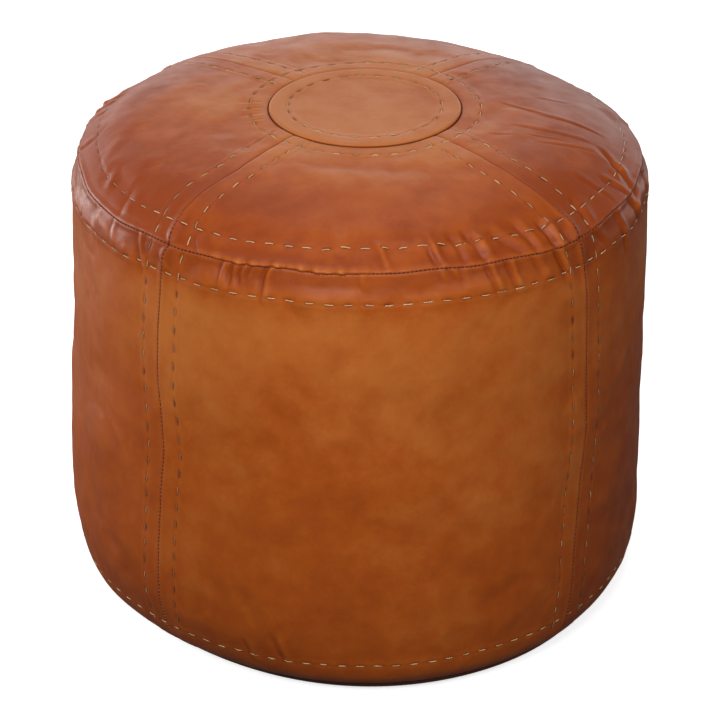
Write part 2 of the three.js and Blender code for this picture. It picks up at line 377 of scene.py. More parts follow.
def simulated_puckers():
    """How far, in mm, each point of the net moves in or out once the cover is sewn and stuffed."""
    angle, run = np.meshgrid(NET_ANGLES, NET_RUNS, indexing="ij")
    start, normal, _ = smooth_place(angle + wander(angle, run), run + rim_wobble(angle, run))
    start = start + normal * (0.6 * ripples(start, 36, 11))[..., None]
    count = len(NET_RUNS)
    faces = []
    for i in range(NET_COLUMNS):
        here, beyond = i * count, (i + 1) % NET_COLUMNS * count
        faces += [(here + j, here + j + 1, beyond + j + 1, beyond + j) for j in range(count - 1)]
    mesh = bpy.data.meshes.new("cover_net")
    mesh.from_pydata((start.reshape(-1, 3) * MM).tolist(), [], faces)
    net = bpy.data.objects.new("cover_net", mesh)
    bpy.context.scene.collection.objects.link(net)

    quarter = from_quarter_seam(angle, np.interp(run, RUN, RADIUS))
    seam = np.maximum(bump(run - RIM, 4), bump(quarter, 4) * (run < HEM))
    spare = bump(run - RIM, 26) * (1 - seam)
    tightness = np.clip(0.5 + 0.5 * seam - 0.5 * spare, 0, 1)
    held = np.where((run < NET_RUNS[1]) | (run > HEM + 14), 1.0, 0.0)
    for name, weights in (("tightness", tightness), ("held", held)):
        group = net.vertex_groups.new(name=name)
        for index, weight in enumerate(weights.ravel()):
            group.add([index], float(weight), "REPLACE")

    cloth = net.modifiers.new("leather", "CLOTH")
    for name, value in CLOTH_SETTINGS.items():
        setattr(cloth.settings, name, value)
    cloth.settings.effector_weights.gravity = 0
    cloth.collision_settings.use_collision = False
    cloth.collision_settings.use_self_collision = False
    scene = bpy.context.scene
    for number in range(FRAMES):
        scene.frame_set(number + 1)
    moved = np.zeros(start.size, np.float32)
    shown = net.evaluated_get(bpy.context.evaluated_depsgraph_get())
    shown.data.vertices.foreach_get("co", moved)
    moved = moved.reshape(start.shape) / MM
    scene.frame_set(1)
    bpy.data.objects.remove(net)
    out = ((moved - start) * normal).sum(-1)
    print(f"the cover moved {out.min():.1f} to {out.max():.1f} mm before its overall shape is taken out")
    fine = out - wide_blur(out, 5, 5)
    return np.clip(fine, -PUCKER_CAP, PUCKER_CAP)


puckers = simulated_puckers()
print(f"puckers from {puckers.min():.1f} to {puckers.max():.1f} mm")


def puckers_at(angle, run):
    """The simulated height at any place, smoothly between the net's points."""
    x = np.mod((angle + math.pi) / (2 * math.pi), 1) * NET_COLUMNS
    y = np.clip((run - NET_RUNS[0]) / NET_STEP, 0, len(NET_RUNS) - 1.001)
    inside = step(0, 4, y) * step(len(NET_RUNS) - 1, len(NET_RUNS) - 5, y)
    i, j = np.floor(x).astype(int), np.floor(y).astype(int)

    def weights(t):  # of the four points in a row round the place
        return [
            (-t + 2 * t**2 - t**3) / 2, (2 - 5 * t**2 + 3 * t**3) / 2,
            (t + 4 * t**2 - 3 * t**3) / 2, (t**3 - t**2) / 2,
        ]

    total = np.zeros(np.broadcast(x, y).shape)
    for p, wx in enumerate(weights(x - i)):
        for q, wy in enumerate(weights(y - j)):
            column = (i + p - 1) % NET_COLUMNS
            row = np.clip(j + q - 1, 0, len(NET_RUNS) - 1)
            total += wx * wy * puckers[column, row]
    return total * inside


# %% [markdown]
# ## The surface of the cover
# Every fine shape is a height above the smooth section. Two leather edges that are sewn together roll in
# at the seam. The allowance behind them makes the leather a little proud as far as its row of stitches,
# and each row draws a shallow channel. Heights add up, so the liner and the filling can follow the same
# folds deeper inside.

# %% Shape the surface
EDGE_ROLL = 0.8  # radius of a turned-in leather edge
LEATHER = 1.6  # its thickness
STITCH_PITCH = 15.4  # of the running stitches
# How far the pouf leans to its right at each height.
LEAN = [(0, 1.0), (20, -2.0), (100, -4.5), (178, -3.6), (216, -1.3), (294, 0.1), (340, 0.8), (430, 0.8)]
PATCH_SHIFT = 3.2  # the patch was sewn on a little to the right of the middle
SWELLS = ((0.4, 105), (0.1, 42), (0.04, 18))  # the height and length of the cover's slow swells


def rolled_edge(d):
    """How far the surface lies below a turned-in edge, at a distance d from the seam."""
    inside = np.clip(EDGE_ROLL - d, 0, EDGE_ROLL)
    return -1.3 * (EDGE_ROLL - np.sqrt(EDGE_ROLL**2 - inside**2))


def stitch_count(run):
    """How many running stitches fit round the pouf at this run."""
    return round(2 * math.pi * np.interp(run, RUN, RADIUS) / STITCH_PITCH)


def allowance(d, width, phase):
    """Turned-in leather lifts the surface, and the row of stitches at its edge draws it down."""
    lifted = 0.5 * (step(0, 3, d) - step(width + 1.0, width + 5, d))
    return lifted - (0.45 + 0.25 * np.cos(2 * math.pi * phase)) * bump(d - width, 1.5)


def slit(d, phase):
    """1 where the needle's slit is, under each stitch of a row at distance d."""
    return bump(d, 0.9) * step(0.05, 0.45, np.cos(2 * math.pi * phase))


def rim_lip(angle):
    """How far the crown's edge rolls over the rim seam, most at the front."""
    degrees = np.degrees(turned(angle, 0.0))
    front = step(-38, -30, degrees) * step(2, -10, degrees)
    crinkle = 1 + 0.3 * np.sin(83 * angle) + 0.24 * np.sin(137 * angle + 1)
    return (0.35 + 2.5 * front) * crinkle


def row_phase(angle, row):
    """Which stitch of a row round the pouf a place is at. It is a whole number at the middle of a stitch."""
    return angle * stitch_count(row) / (2 * math.pi) + 0.5


def phase_beside(run):
    """The same for the rows beside the straight seams, which are counted from the rim."""
    return np.abs(run - RIM) / STITCH_PITCH + 0.5


def needle_slits(angle, run):
    """1 where the needle went through, in any of the rows."""
    quarter = from_quarter_seam(angle, np.interp(run, RUN, RADIUS))
    beside = slit(quarter - ROW_BESIDE_SEAM, phase_beside(run))
    slits = beside * (run > PATCH_R + 4) * (run < HEM)
    for row in (*PATCH_ROWS, CROWN_RIM_ROW, SIDE_RIM_ROW, BASE_ROW):
        slits = np.maximum(slits, slit(run - row, row_phase(angle, row)))
    return slits


def sewing_relief(angle, run):
    """The height that sewing gives: rolled edges, lifted allowances and the channels of the rows."""
    quarter = from_quarter_seam(angle, np.interp(run, RUN, RADIUS))
    rim, hem, patch = np.abs(run - RIM), np.abs(run - HEM), np.abs(run - PATCH_R)
    quartered = (run > PATCH_R) & (run < HEM)
    crown, side = (run > PATCH_R) & (run < RIM), (run > RIM) & (run < HEM)
    height = 0.7 * rolled_edge(quarter * 1.4)
    height = quartered * (height + allowance(quarter, ROW_BESIDE_SEAM, phase_beside(run)))
    height = height + rolled_edge(rim) - 0.7 * bump(rim, 4) + rolled_edge(hem) - 0.6 * bump(hem, 5)
    for part, seam, row in (
        (crown, RIM, CROWN_RIM_ROW), (crown, PATCH_R, PATCH_ROWS[1]), (side, RIM, SIDE_RIM_ROW),
        (side, HEM, BASE_ROW), (run < PATCH_R, PATCH_R, PATCH_ROWS[0]),
    ):
        height = height + part * allowance(np.abs(run - seam), abs(row - seam), row_phase(angle, row))
    return height + 1.4 * rolled_edge(patch) - crown * 0.4 * bump(patch, 3)


def pucker_share(run):
    """How much of the simulated puckers shows: most by the rim, where a flat panel turns the corner."""
    by_rim = bump(np.maximum(0, np.abs(run - RIM - 4) - 14), 18)
    return 0.1 + np.where(run < RIM, 0.4, 0.22) * by_rim


def stuffing_relief(angle, run):
    """The height that stuffing gives: slow swells, the rolled lip at the rim, the folds and the puckers."""
    crown, side = run < RIM, (run > RIM) & (run < HEM)
    loose = step(PATCH_R, PATCH_R + 30, run) * step(HEM, HEM - 30, run)
    place, _, _ = smooth_place(angle, run)
    height = loose * sum(size * ripples(place, length, 21 + k) for k, (size, length) in enumerate(SWELLS))
    height = height + crown * rim_lip(angle) * bump(run - RIM + 2.8, 2.3)
    height = height + side * 0.2 * bump(run - RIM - 11, 9)
    height = height + crown * folds_at(angle, run, CROWN_FOLDS) + side * folds_at(angle, run, SIDE_FOLDS)
    seam = np.minimum(np.abs(run - RIM), from_quarter_seam(angle, np.interp(run, RUN, RADIUS)))
    height = height + pucker_share(run) * puckers_at(angle, run) * step(0, 6, seam) * loose
    return height + 1.0 * step(PATCH_R + 0.5, PATCH_R - 2, run)


def out_of_round(angle, run, level):
    """A stuffed pouf settles unevenly: its crown is slack at the back right and full at the back left."""
    high = step(330, 400, level) * step(90, 190, run)
    height = -4.6 * high * bump(turned(angle, math.radians(132)), 0.62)
    height = height + 3.6 * high * bump(turned(angle, math.radians(-112)), 0.42)
    return height - 1.4 * step(180, 260, level) * step(400, 370, level)


def tucked_in(angle, level):
    """How far the foot is drawn in from its round, at the front left and a little at the right."""
    left = 9.0 * bump(turned(angle, math.radians(-42)), 0.62)
    right = 3.5 * bump(turned(angle, math.radians(66)), 0.35)
    return (left + right) * step(75, 5, level)


def on_cover(angle, run, depth=0.0, sewn=True):
    """Places on the cover, in mm, or on a layer at a depth below it."""
    point, normal, downhill = smooth_place(angle + wander(angle, run), run + rim_wobble(angle, run))
    height = stuffing_relief(angle, run) - depth
    if sewn:
        height = height + sewing_relief(angle, run)
    overhang = 0.6 * rim_lip(angle) * bump(run - RIM + 2, 2.4) * (run < RIM)
    height = height + out_of_round(angle, run, point[..., 2])
    place = point + normal * height[..., None] + downhill * overhang[..., None]
    levels, shifts = zip(*LEAN)
    shift = np.interp(place[..., 2], levels, shifts) + PATCH_SHIFT * step(190, 90, run)
    tuck = tucked_in(angle, place[..., 2]) * np.hypot(point[..., 0], point[..., 1]) / BASE_SEAM[0]
    place[..., 0] += shift - tuck * np.sin(angle)
    place[..., 1] += tuck * np.cos(angle)
    place[..., 2] = np.maximum(place[..., 2], depth)
    return place


# %% [markdown]
# ## Turning nets into leather
# A panel is a net of points on its outside, the same net again on its inside, and a strip round the edge
# that joins the two, so it is one closed sheet of leather. The net is finer beside the seams, where the
# edge rolls in, and along the rows of stitches. Some numbers are kept on the points for the leather's
# colour: how hollow the place is, how far it is from a seam, and which hide it is from.

# %% Tools for panels
GRAIN_STEP = 2.3  # mm between the net's points down the middle of a panel
FOLD_STEP = 1.5  # and across it, where the folds are narrow
EDGE_STEPS = np.array([0.04, 0.2, 0.5, 0.9, 1.4, 2.1, 3.2, 4.8, 6.8])
ROW_STEPS = np.array([-2.2, -1.0, 0.0, 1.0, 2.2, 4.2])


def lines_to(row):
    """Net lines from a seam to just past the row of stitches beside it."""
    between = np.linspace(EDGE_STEPS[-1], row + ROW_STEPS[0], max(2, round((row - 9) / GRAIN_STEP) + 1))[1:-1]
    return np.concatenate([EDGE_STEPS, between, row + ROW_STEPS])


def spaced(length, first_row, last_row, net_step=GRAIN_STEP):
    """Net lines across a panel of a length (or of several lengths), with a row of stitches near each end."""
    length = np.asarray(length, float)
    first, last = lines_to(first_row), lines_to(last_row)
    count = int((length.max() - first[-1] - last[-1]) / net_step)
    t = np.linspace(0, 1, count + 1)[1:-1]
    middle = first[-1] + t * (length[..., None] - first[-1] - last[-1])
    head = np.broadcast_to(first, (*length.shape, len(first)))
    return np.concatenate([head, middle, length[..., None] - last[::-1]], -1)


def net_faces(rows, columns, closed):
    """The quads of a net, whose columns join up into a ring if it is closed."""
    i, j = np.meshgrid(np.arange(rows - 1), np.arange(columns if closed else columns - 1), indexing="ij")
    k = (j + 1) % columns
    corners = [i * columns + j, i * columns + k, (i + 1) * columns + k, (i + 1) * columns + j]
    return np.stack(corners, -1).reshape(-1, 4)


def joining_strip(border, count):
    """The quads between a border of the outer net, which is a ring, and the same border of the inner one."""
    border = np.append(border, border[0])
    return np.stack([border[1:], border[:-1], border[:-1] + count, border[1:] + count], -1)


def finished(name, points, faces, numbers=None):
    """A new object from points in mm, with doubles merged and its faces turned outwards."""
    mesh = bpy.data.meshes.new(name)
    mesh.from_pydata((points * MM).tolist(), [], faces.tolist())
    for label, values in (numbers or {}).items():
        kept = mesh.attributes.new(label, "FLOAT", "POINT")
        kept.data.foreach_set("value", values.astype(np.float32))
    shape = bmesh.new()
    shape.from_mesh(mesh)
    bmesh.ops.remove_doubles(shape, verts=shape.verts, dist=1e-6)
    bmesh.ops.recalc_face_normals(shape, faces=shape.faces)
    if shape.calc_volume(signed=True) < 0:
        bmesh.ops.reverse_faces(shape, faces=shape.faces)
    shape.to_mesh(mesh)
    shape.free()
    mesh.shade_smooth()
    made = bpy.data.objects.new(name, mesh)
    bpy.context.scene.collection.objects.link(made)
    return made


def sheet_of(name, outside, inside, closed=False, pole=False, numbers=None):
    """A closed sheet from its two nets, which may be rings, with the first ring drawn together at a pole."""
    rows, columns = outside.shape[:2]
    count = rows * columns
    outer = net_faces(rows, columns, closed)
    faces = [outer, outer[:, ::-1] + count]
    grid = np.arange(count).reshape(rows, columns)
    if closed:
        faces.append(joining_strip(grid[-1][::-1], count))
        if not pole:
            faces.append(joining_strip(grid[0], count))
    else:
        border = np.concatenate([grid[0], grid[1:, -1], grid[-1, -2::-1], grid[-2:0:-1, 0]])
        faces.append(joining_strip(border, count))
    both = {
        label: np.concatenate([np.broadcast_to(values, (rows, columns)).ravel(), np.zeros(count)])
        for label, values in (numbers or {}).items()
    }
    points = np.concatenate([outside.reshape(-1, 3), inside.reshape(-1, 3)])
    return finished(name, points, np.concatenate(faces), both)


def hollowness(height, reach=4):
    """How far each point of a net lies below the average round it, in mm."""
    around = np.pad(height, reach, mode="edge")
    rows, columns = height.shape
    around = sum(around[k:k + rows] for k in range(2 * reach + 1)) / (2 * reach + 1)
    around = sum(around[:, k:k + columns] for k in range(2 * reach + 1)) / (2 * reach + 1)
    return around - height


def seam_distance(angle, run):
    """How far a place is from the nearest seam. The crown's straight seams are flattened thinner, so their
    distance counts three times over, and the shade painted in them is narrower.
    """
    quarter = from_quarter_seam(angle, np.interp(run, RUN, RADIUS)) * np.where(run < RIM - 12, 3.0, 1.0)
    quarter = np.where((run > PATCH_R) & (run < HEM), quarter, 99)
    return np.minimum.reduce([np.abs(run - RIM), np.abs(run - HEM), np.abs(run - PATCH_R), quarter])


def cover_panel(name, angle, run, hide, **shape):
    """A panel of the leather cover over a net of angles and runs."""
    outside = on_cover(angle, run)
    inside = on_cover(angle, run, depth=LEATHER)
    seam = seam_distance(angle, run)
    inside += (outside - inside) * (0.45 * bump(seam, 3))[..., None]  # the leather is pared down at its seams
    height = stuffing_relief(angle, run) + sewing_relief(angle, run)
    numbers = {"hollow": hollowness(height), "seam": np.minimum(seam, 40), "hide": np.full(seam.shape, hide)}
    numbers["slit"] = needle_slits(angle, run)
    return sheet_of(name, outside, inside, numbers=numbers, **shape)


SIDES = {"front": -45, "right": 45, "back": 135, "left": 225}  # each quarter's first seam, in degrees


def quarter_net(first_seam, start, end, first_row, last_row):
    """The angles and runs of a net over one quarter, between two runs."""
    runs = start + spaced(end - start, first_row, last_row)
    radius = np.interp(runs, RUN, RADIUS)
    across = spaced(radius * QUARTER, ROW_BESIDE_SEAM, ROW_BESIDE_SEAM, FOLD_STEP)
    angle = math.radians(first_seam) + across / radius[:, None]
    return angle, np.broadcast_to(runs[:, None], angle.shape)


# %% [markdown]
# ## The crown and the side
# The crown is four sector panels, and the side is four upright panels below them. Each is cut from a
# different part of a hide, so its colour is a little lighter or darker than its neighbour's.

# %% Make the crown and side panels
HIDES = {"front": 0.5, "right": 0.3, "back": 0.6, "left": 0.4}
for side, seam in SIDES.items():
    crown_net = quarter_net(seam, PATCH_R, RIM, PATCH_ROWS[1] - PATCH_R, RIM - CROWN_RIM_ROW)
    crown = cover_panel(f"crown_leather_{side}", *crown_net, HIDES[side])
    side_net = quarter_net(seam, RIM, HEM, SIDE_RIM_ROW - RIM, HEM - BASE_ROW)
    wall = cover_panel(f"side_leather_{side}", *side_net, HIDES[side] + 0.05)
    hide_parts(f"top_panel_{side}")
    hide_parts(f"side_panel_{side}")
    print(crown.name, len(crown.data.polygons), "faces;", wall.name, len(wall.data.polygons), "faces")

# %% [markdown]
# ## The centre patch
# A round of leather covers the point where the four crown panels meet. Its turned edge stands a little
# proud, with a dark groove all round. Its net is rings about the middle.

# %% Make the centre patch
edge_lines = PATCH_R - lines_to(PATCH_R - PATCH_ROWS[0])[::-1]
ring_runs = np.concatenate([np.arange(0, edge_lines[0] - 1, GRAIN_STEP), edge_lines])
ring_angles = np.linspace(-math.pi, math.pi, 220, endpoint=False)
patch_angle, patch_run = np.meshgrid(ring_angles, ring_runs)
patch = cover_panel("centre_patch_leather", patch_angle, patch_run, 0.5, closed=True, pole=True)
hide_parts("centre_patch")
print(patch.name, len(patch.data.polygons), "faces")

# %% [markdown]
# ## The base
# The base is a round of thicker leather in two halves, with the zip between them. It curves up to the
# seam at its rim, and rises in a shallow valley along the zip so that the slider stays off the floor.
# Each half is a net of lines that run from the zip out to the rim.

# %% Make the base halves
VALLEY_HEIGHT = 8.0
VALLEY_HALF_WIDTH = 7.0
VALLEY_RISE = 1 / 3
SLOT_HALF_WIDTH = 6.0
SLOT_END = 156.0
GAP = 0.04  # between leathers that are sewn together
foot_runs = RUN[RUN >= HEM]
foot_radii = np.interp(foot_runs, RUN, RADIUS)


def valley(y, depth=0.0):
    """The height of the base over the zip."""
    return VALLEY_HEIGHT + depth - np.maximum(0, np.abs(y) - VALLEY_HALF_WIDTH - 0.16 * depth) * VALLEY_RISE


def slot_edge(x):
    """Half the gap between the base's halves: open over the zip, and closed by the seam at each end of it."""
    return SLOT_HALF_WIDTH - (SLOT_HALF_WIDTH - GAP) * step(SLOT_END - 3, SLOT_END, np.abs(x))


def base_places(x, y, depth):
    """Places on the base, in mm, where the leather rises over the zip and rolls in along the slot."""
    radius = np.hypot(x, y)
    run = np.interp(-radius, -foot_radii, foot_runs)
    place = on_cover(np.arctan2(x, -y), run, depth)
    turned_in = 0.8 * rolled_edge(np.abs(y) - slot_edge(x))
    over_zip = valley(y, depth) - turned_in
    place[..., 2] = np.maximum(place[..., 2], over_zip)
    return place


def base_half(name, sign):
    """One half of the base, as lines from the zip out to the rim, closest together at both ends."""
    along = np.radians(np.linspace(-89.6, 89.6, 190))
    rim = BASE_SEAM[0] - GAP
    x = rim * np.sin(along)
    near = slot_edge(x)
    far = np.sqrt(rim**2 - x**2)
    by_zip, by_rim = [0, 0.002, 0.005, 0.009, 0.015, 0.025], 1 - np.geomspace(0.06, 0.0015, 12)
    t = np.concatenate([by_zip, np.linspace(0.035, 0.93, 88), by_rim, [1]])
    y = sign * (near + t[:, None] * (far - near))
    x = np.broadcast_to(x, y.shape)
    outside = base_places(x, y, 0.0)
    inside = base_places(x, y, LEATHER)
    radius = np.hypot(x, y)
    seam = np.minimum(BASE_SEAM[0] - radius, np.abs(y) - slot_edge(x))
    numbers = {"hollow": np.zeros(y.shape), "seam": np.clip(seam, 0, 40), "hide": np.full(y.shape, 0.5)}
    return sheet_of(name, outside, inside, numbers=numbers)


HALVES = {"front": -1, "back": 1}  # the side of the zip that each half is on
for half, sign in HALVES.items():
    base = base_half(f"base_leather_{half}", sign)
    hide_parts(f"base_panel_{half}")
    print(base.name, len(base.data.polygons), "faces")

# %% [markdown]
# ## The cotton bag and the wadding
# Inside the leather is a cotton bag full of wadding. Neither shows while the zip is shut, but they give
# the cover its shape, so they follow the same folds a few millimetres down. The bag's base bridges the
# zip, and the wadding leaves it room.

# %% Make the bag and the wadding
LINER_DEPTH = 4.0
LINER_THICKNESS = 0.8
FILLING_DEPTH = 5.2
ROOM = (162.0, 19.0, 16.8)  # half length, half width and height of the room over the zip


def inner_places(angle, run, depth):
    """A layer inside the leather, which passes over the zip's room."""
    place = on_cover(angle, run, depth, sewn=False)
    x, y = place[..., 0], place[..., 1]
    low = run > HEM
    over_zip = step(ROOM[0] + 16, ROOM[0], np.abs(x)) * step(ROOM[1] + 12, ROOM[1], np.abs(y))
    room = over_zip * (ROOM[2] + depth - LINER_DEPTH)
    place[..., 2] = np.where(low, np.maximum.reduce([place[..., 2], valley(y, depth), room]), place[..., 2])
    return place


def bag_part(part, runs, **shape):
    """A part of the cotton bag, as rings at the runs given."""
    angle, run = np.meshgrid(np.linspace(-math.pi, math.pi, 200, endpoint=False), runs)
    outside, inside = (inner_places(angle, run, LINER_DEPTH + depth) for depth in (0, LINER_THICKNESS))
    made = sheet_of(f"bag_{part}", outside, inside, closed=True, **shape)
    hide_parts(f"liner_{part}")
    return made


bag_top = bag_part("top", np.linspace(0, RIM - 0.4, 60), pole=True)
bag_wall = bag_part("wall", np.linspace(RIM + 0.4, HEM - 0.4, 90))
bag_base = bag_part("base", np.linspace(RUN[-1], HEM + 0.4, 80), pole=True)

angle, run = np.meshgrid(np.linspace(-math.pi, math.pi, 180, endpoint=False), np.linspace(0, RUN[-1], 190))
lumps = inner_places(angle, run, FILLING_DEPTH)
wadding = finished("wadding", lumps.reshape(-1, 3), net_faces(*angle.shape, True))
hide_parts("filling")
for piece in (bag_top, bag_wall, bag_base, wadding):
    print(piece.name, len(piece.data.polygons), "faces")

# %% [markdown]
# ## Node helpers
# Materials and Geometry Nodes are both made of nodes. One helper adds a node, gives it its settings, and
# fills its inputs with values or with links. Colours are written as the sRGB hex values of a paint chart,
# and one function turns them to the linear values that Blender's sockets want.

# %% Helpers for nodes
def feed(node, inputs):
    """Fills a node's inputs, by name or number, with values, outputs, or other nodes' first outputs."""
    for key, value in inputs.items():
        source = value.outputs[0] if isinstance(value, bpy.types.Node) else value
        if isinstance(source, bpy.types.NodeSocket):
            node.id_data.links.new(source, node.inputs[key])
        else:
            node.inputs[key].default_value = source


def add_node(tree, kind, inputs=None, **settings):
    """Adds a node with its settings, and feeds it."""
    node = tree.nodes.new(kind)
    for name, value in settings.items():
        setattr(node, name, value)
    feed(node, inputs or {})
    return node


def linear(hex_colour):
    """An sRGB hex colour as linear red, green, blue and an alpha of 1."""
    parts = [int(hex_colour[k:k + 2], 16) / 255 for k in (0, 2, 4)]
    return (*(v / 12.92 if v <= 0.04045 else ((v + 0.055) / 1.055) ** 2.4 for v in parts), 1.0)


def new_material(name, **values):
    """A material with a Principled BSDF, whose sockets take the values given here."""
    material = bpy.data.materials.new(name)
    material.use_nodes = True
    tree = material.node_tree
    tree.nodes.clear()
    sockets = {name.replace("_", " "): value for name, value in values.items()}
    shader = add_node(tree, "ShaderNodeBsdfPrincipled", sockets)
    add_node(tree, "ShaderNodeOutputMaterial", {"Surface": shader})
    return material, tree, shader


def shades(tree, factor, *stops):
    """A colour ramp of (place, hex colour) stops."""
    ramp = add_node(tree, "ShaderNodeValToRGB", {"Fac": factor})
    elements = ramp.color_ramp.elements
    elements[0].position, elements[0].color = stops[0][0], linear(stops[0][1])
    elements[1].position, elements[1].color = stops[-1][0], linear(stops[-1][1])
    for place, colour in stops[1:-1]:
        elements.new(place).color = linear(colour)
    return ramp.outputs["Color"]


# %% [markdown]
# ## Waxed leather
# The cover is vegetable-tanned leather, dyed a reddish tan and waxed by hand, which leaves a soft patina,
# darker in a hollow. Its colour also holds painted light and shade: painted shade darkens it towards the
# foot, in a band round the rim and in the seams and needle slits, and painted light makes it lighter on the
# upper side and the crown. The grain is a net of tiny cells about 0.9 mm across, on slower waves about 6 mm
# across, and both are too low to need geometry.

# %% Make the leathers
GRAIN_CELL = 1 / 1100  # metres
# Scale and detail of the noises: clouds about 90 mm across, mottle 20 mm, specks 4 mm, and waves of 6 mm.
LEATHER_NOISES = ((11, 4), (48, 5), (260, 2), (170, 3))
MEAN_TONE = 0.795  # what the sum of the tones comes to, less the middle of the colour ramp
# Painted light and shade by height: how light the leather is, from 0 to 1, at each share of the pouf's
# height. Painted shade darkens the foot and a band round the rim, and painted light brightens the upper side
# and the crown.
LIGHT_AND_SHADE_BY_HEIGHT = ((0, 0.3), (0.3, 0.4), (0.55, 0.54), (0.8, 0.68), (0.9, 0.16), (0.95, 0.16), (1, 0.72))


def painted_light_and_shade(tree, place):
    """Painted light and shade by height: darker towards the foot and in a band round the rim as shade,
    lighter on the upper side and the crown as light.
    """
    height = add_node(tree, "ShaderNodeSeparateXYZ", {0: place}).outputs["Z"]
    part = add_node(tree, "ShaderNodeMath", {0: height, 1: 1 / 0.42}, operation="MULTIPLY")
    tones = add_node(tree, "ShaderNodeFloatCurve", {"Value": part})
    line = tones.mapping.curves[0]
    for share, level in LIGHT_AND_SHADE_BY_HEIGHT[1:-1]:
        line.points.new(share, level)
    line.points[0].location, line.points[-1].location = LIGHT_AND_SHADE_BY_HEIGHT[0], LIGHT_AND_SHADE_BY_HEIGHT[-1]
    tones.mapping.update()
    return add_node(tree, "ShaderNodeMath", {0: tones, 1: 0.5}, operation="SUBTRACT")


def leather(name, groove_shade_colour, dark, middle, light, roughness):
    """Leather whose colour goes from dark to light, with a dark colour painted in its seams and needle slits
    as their shade.
    """
    material, tree, shader = new_material(
        name, Roughness=roughness, IOR=1.5, Specular_IOR_Level=0.21, Coat_Weight=0.03, Coat_Roughness=0.3,
    )
    place = add_node(tree, "ShaderNodeTexCoord").outputs["Object"]
    patina, mottle, specks, hide_waves = (
        add_node(tree, "ShaderNodeTexNoise", {"Vector": place, "Scale": scale, "Detail": detail})
        for scale, detail in LEATHER_NOISES
    )
    hide, hollow, seam, slits = (
        add_node(tree, "ShaderNodeAttribute", attribute_name=label).outputs["Fac"]
        for label in ("hide", "hollow", "seam", "slit")
    )
    tone = hide
    # painted light and shade by height: darker towards the foot and round the rim, lighter on the upper side
    # and the crown
    by_height = painted_light_and_shade(tree, place)
    for part, share in ((patina, 0.8), (mottle, 0.62), (specks, 0.18), (hollow, -0.2), (by_height, 1.0)):
        tone = add_node(tree, "ShaderNodeMath", {0: part, 1: share, 2: tone}, operation="MULTIPLY_ADD")
    tone = add_node(tree, "ShaderNodeMath", {0: tone, 1: MEAN_TONE}, operation="SUBTRACT")
    dyed = shades(tree, tone, (0.05, dark), (0.5, middle), (0.95, light))
    # painted shade: the seam grooves take the dark colour up to 0.9 mm from the seam
    groove = {0: seam, 1: 0.3, 2: 0.9, 3: 0.85, 4: 0.0}  # dark up to 0.9 mm from the seam
    at_seam = add_node(tree, "ShaderNodeMapRange", groove)
    # painted shade in each needle slit under a stitch
    pierced = add_node(tree, "ShaderNodeMath", {0: slits, 1: 0.75}, operation="MULTIPLY")
    painted_groove_shade = add_node(tree, "ShaderNodeMath", {0: at_seam, 1: pierced}, operation="MAXIMUM")
    dyed = add_node(
        tree, "ShaderNodeMix", {"Factor": painted_groove_shade, 6: dyed, 7: linear(groove_shade_colour)}, data_type="RGBA",
    ).outputs[2]
    feed(shader, {"Base Color": dyed})

    waxed = {0: mottle, 1: 0.3, 2: 0.7, 3: roughness + 0.07, 4: roughness - 0.05}
    gloss = add_node(tree, "ShaderNodeMapRange", waxed)
    unwaxed = {0: painted_groove_shade, 1: 0.5, 2: gloss}  # rougher in the seams and slits, where their shade is painted
    matt = add_node(tree, "ShaderNodeMath", unwaxed, operation="MULTIPLY_ADD")
    feed(shader, {"Roughness": matt})
    cells = {"Vector": place, "Scale": 1 / GRAIN_CELL, "Randomness": 1.0}
    cells = add_node(tree, "ShaderNodeTexVoronoi", cells, feature="DISTANCE_TO_EDGE").outputs["Distance"]
    creased = add_node(tree, "ShaderNodeMapRange", {0: cells, 1: 0.0, 2: 0.35, 3: 0.0, 4: 1.0})
    height = add_node(tree, "ShaderNodeMath", {0: hide_waves, 1: 2.2, 2: creased}, operation="MULTIPLY_ADD")
    grain = add_node(tree, "ShaderNodeBump", {"Strength": 0.35, "Distance": 0.0002, "Height": height})
    feed(shader, {"Normal": grain})
    return material


# the first colour of each leather is the painted shade in its seams and slits
waxed_leather = leather(
    "cognac leather, dyed and waxed by hand", "4e1a08", "8a390c", "a54e15", "b6672b", roughness=0.42,
)
sole_leather = leather(
    "thicker base leather, dyed and left matt", "2f1407", "4f2109", "7a3a14", "915023", roughness=0.52,
)


def dress(piece, material, body="pouf"):
    """Gives a piece its material and the body that it moves with."""
    piece.data.materials.clear()
    piece.data.materials.append(material)
    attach(piece, body)


cover_pieces = [bpy.data.objects[f"{part}_leather_{side}"] for side in SIDES for part in ("crown", "side")]
for piece in (*cover_pieces, patch):
    dress(piece, waxed_leather)
for half in HALVES:
    dress(bpy.data.objects[f"base_leather_{half}"], sole_leather)
print("waxed leather on", len(cover_pieces) + 1, "pieces, and matt leather on", len(HALVES))

# %% [markdown]
# ## Thread, cotton and wadding
# The running stitches are waxed linen thread, laid in two plies, with a few stains at random, and painted
# shade darkens them on the left side and down the side's straight rows.
# The machine stitches in the seams are tan polyester, a little brighter than the leather. The bag is plain
# cotton, whose weave is two crossed sets of threads 0.5 mm apart, drawn at 1.5 mm so that it shows. The
# wadding is loose white fibre, all fuzz and no gloss.

